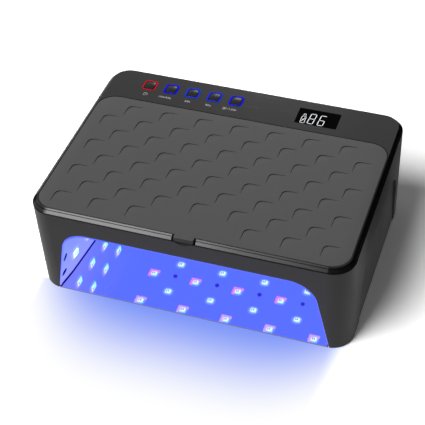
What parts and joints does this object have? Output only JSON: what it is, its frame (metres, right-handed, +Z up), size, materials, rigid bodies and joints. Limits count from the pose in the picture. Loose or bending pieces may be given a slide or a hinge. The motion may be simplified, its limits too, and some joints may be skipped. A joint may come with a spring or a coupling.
{
  "type": "nail lamp",
  "caption": "Rechargeable desk nail lamp with a wide open front, lit hand chamber, lift-off padded hand rest, push buttons, display and detachable mirror base plate.",
  "frame": {"origin": "centre of the base, on the surface the lamp stands on", "axes": "+X along the lamp's width, -Y out of the open front, +Z up"},
  "size_m": [0.2712, 0.205, 0.0973],
  "materials": {
    "case_plastic": "matte, fine mould texture",
    "cover_plastic": "satin black",
    "carrier_plastic": "matte",
    "pad_silicone": "soft touch, matte",
    "mirror_plate": "mirror polished",
    "foot_rubber": "matte",
    "magnet_nickel": "nickel plated",
    "liner_white": "bright white",
    "led_board": "white solder mask",
    "bead_lens": "clear lens",
    "sensor_lens": "dark lens",
    "screw_black": "black zinc",
    "screw_steel": "zinc plated",
    "guide_plastic": "matte",
    "green_board": "green solder mask",
    "switch_body": "plain",
    "display_body": "plain",
    "window_acrylic": "smoked, polished",
    "cell_wrap": "shrink wrap",
    "tray_plastic": "matte",
    "component_body": "plain",
    "socket_plastic": "plain",
    "pin_brass": "plated",
    "lead_wire": "insulated",
    "button_black": "polished black",
    "ring_red": "lit from below",
    "ring_blue": "lit from below"
  },
  "bodies": {
    "housing": {"outer_shell": "case_plastic", "top_cover": "cover_plastic", "base_magnets": "magnet_nickel", "inner_reflector": "liner_white", "ceiling_led_board": "led_board", "ceiling_beads": "bead_lens", "right_led_board": "led_board", "left_led_board": "led_board", "right_beads": "bead_lens", "left_beads": "bead_lens", "rear_led_board": "led_board", "rear_beads": "bead_lens", "hand_sensors": "sensor_lens", "reflector_screws": "screw_black", "case_screws": "screw_steel", "button_guide": "guide_plastic", "control_board": "green_board", "control_board_screws": "screw_steel", "tact_switches": "switch_body", "display_module": "display_body", "display_window": "window_acrylic", "battery_cells": "cell_wrap", "battery_tray": "tray_plastic", "battery_screws": "screw_steel", "main_board": "green_board", "main_board_screws": "screw_steel", "driver_components": "component_body", "charging_socket": "socket_plastic", "socket_pin": "pin_brass", "lead_socket": "component_body", "wiring": "lead_wire", "power_ring": "ring_red", "timer_ring_1": "ring_blue", "timer_ring_2": "ring_blue", "timer_ring_3": "ring_blue", "timer_ring_4": "ring_blue"},
    "hand_rest": {"hand_rest_carrier": "carrier_plastic", "hand_rest_pad": "pad_silicone"},
    "base": {"base_plate": "mirror_plate", "base_feet": "foot_rubber"},
    "power_key": {"power_button": "button_black"},
    "timer_key_1": {"timer_button_1": "button_black"},
    "timer_key_2": {"timer_button_2": "button_black"},
    "timer_key_3": {"timer_button_3": "button_black"},
    "timer_key_4": {"timer_button_4": "button_black"}
  },
  "joints": [
    {"name": "hand_rest_lift", "type": "slide", "parent": "housing", "child": "hand_rest", "axis": [0, 0, 1], "range_m": [0, 0.04]},
    {"name": "base_release", "type": "slide", "parent": "housing", "child": "base", "axis": [0, 0, -1], "range_m": [0, 0.04]},
    {"name": "power_press", "type": "slide", "parent": "housing", "child": "power_key", "axis": [0, 0, -1], "range_m": [0, 0.0006], "stiffness_N_per_m": 900, "springref_m": -0.0008},
    {"name": "timer_press_1", "type": "slide", "parent": "housing", "child": "timer_key_1", "axis": [0, 0, -1], "range_m": [0, 0.0006], "stiffness_N_per_m": 900, "springref_m": -0.0008},
    {"name": "timer_press_2", "type": "slide", "parent": "housing", "child": "timer_key_2", "axis": [0, 0, -1], "range_m": [0, 0.0006], "stiffness_N_per_m": 900, "springref_m": -0.0008},
    {"name": "timer_press_3", "type": "slide", "parent": "housing", "child": "timer_key_3", "axis": [0, 0, -1], "range_m": [0, 0.0006], "stiffness_N_per_m": 900, "springref_m": -0.0008},
    {"name": "timer_press_4", "type": "slide", "parent": "housing", "child": "timer_key_4", "axis": [0, 0, -1], "range_m": [0, 0.0006], "stiffness_N_per_m": 900, "springref_m": -0.0008}
  ]
}
